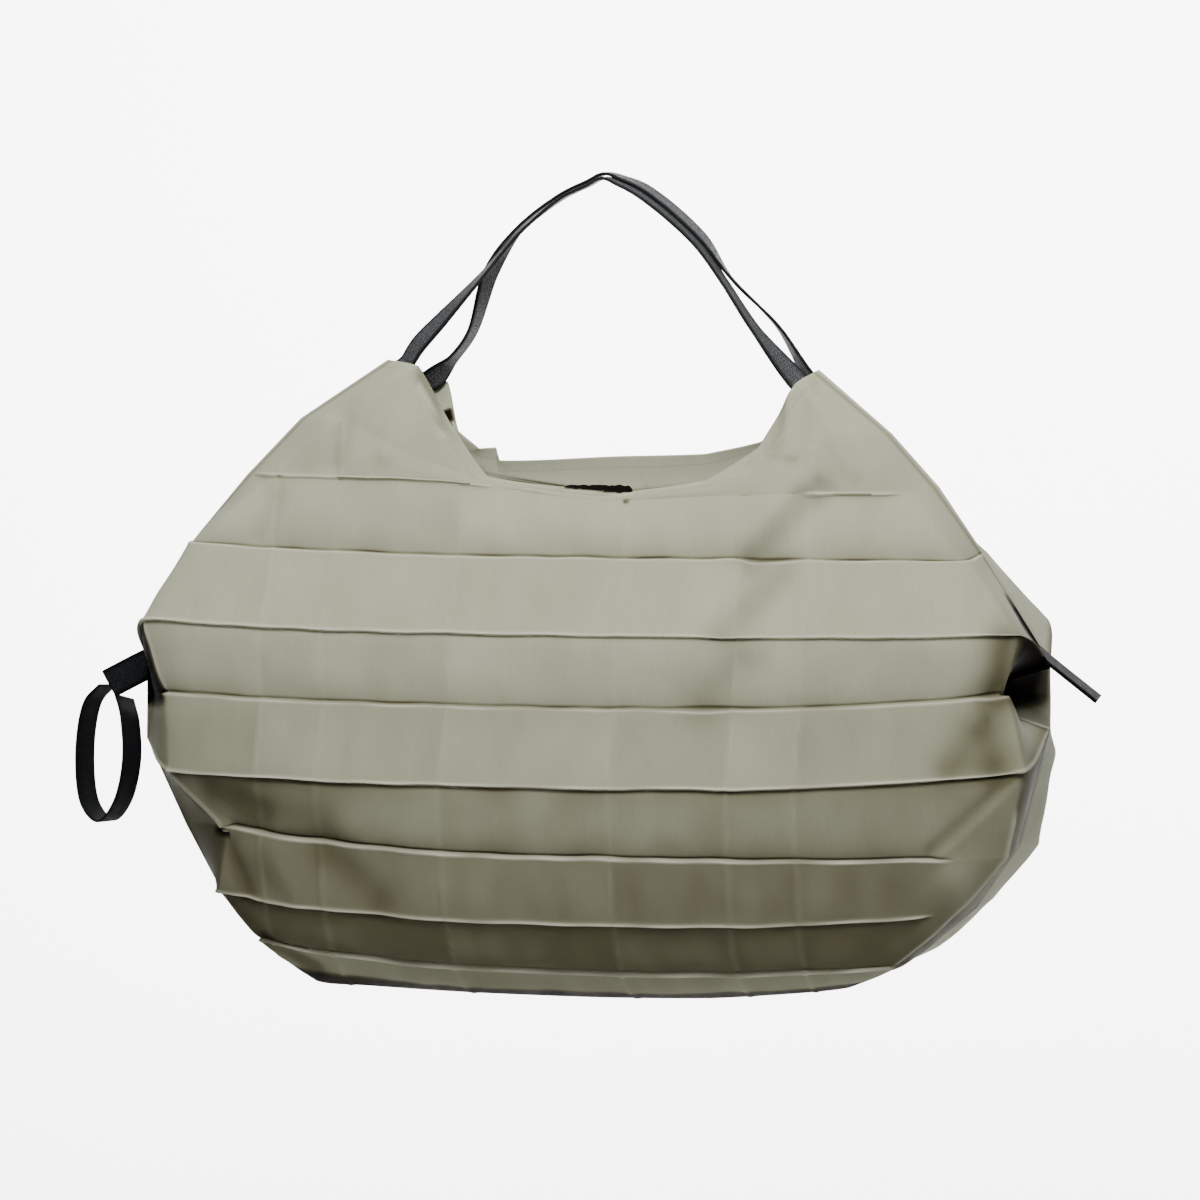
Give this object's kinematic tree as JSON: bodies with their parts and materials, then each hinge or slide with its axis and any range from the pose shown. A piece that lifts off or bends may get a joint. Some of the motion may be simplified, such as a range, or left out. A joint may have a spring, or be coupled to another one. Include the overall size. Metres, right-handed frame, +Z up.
{
  "type": "foldable shopping bag",
  "caption": "Soft pleated cloth carrier bag hanging by its webbing handles, with an end tab and an elastic band loop that hold it once it is folded into a strip.",
  "frame": {"origin": "where the bag hangs: the underside of the front handle at the top of its arch", "axes": "+X along the bag's length towards the end with the plain tab, +Y from the front panel to the back panel, +Z up"},
  "size_m": [0.6225, 0.2122, 0.4887],
  "materials": {
    "bag_cloth": "thin plain-woven nylon, matte with a faint sheen",
    "handle_webbing": "flat woven webbing, matte",
    "tab_webbing": "flat woven webbing, matte",
    "elastic_band": "flat braided elastic, matte"
  },
  "bodies": {
    "root": {"front_panel": "bag_cloth", "back_panel": "bag_cloth", "front_handle": "handle_webbing", "back_handle": "handle_webbing", "left_tab": "tab_webbing", "right_tab": "tab_webbing", "pull_loop": "elastic_band"}
  },
  "joints": []
}
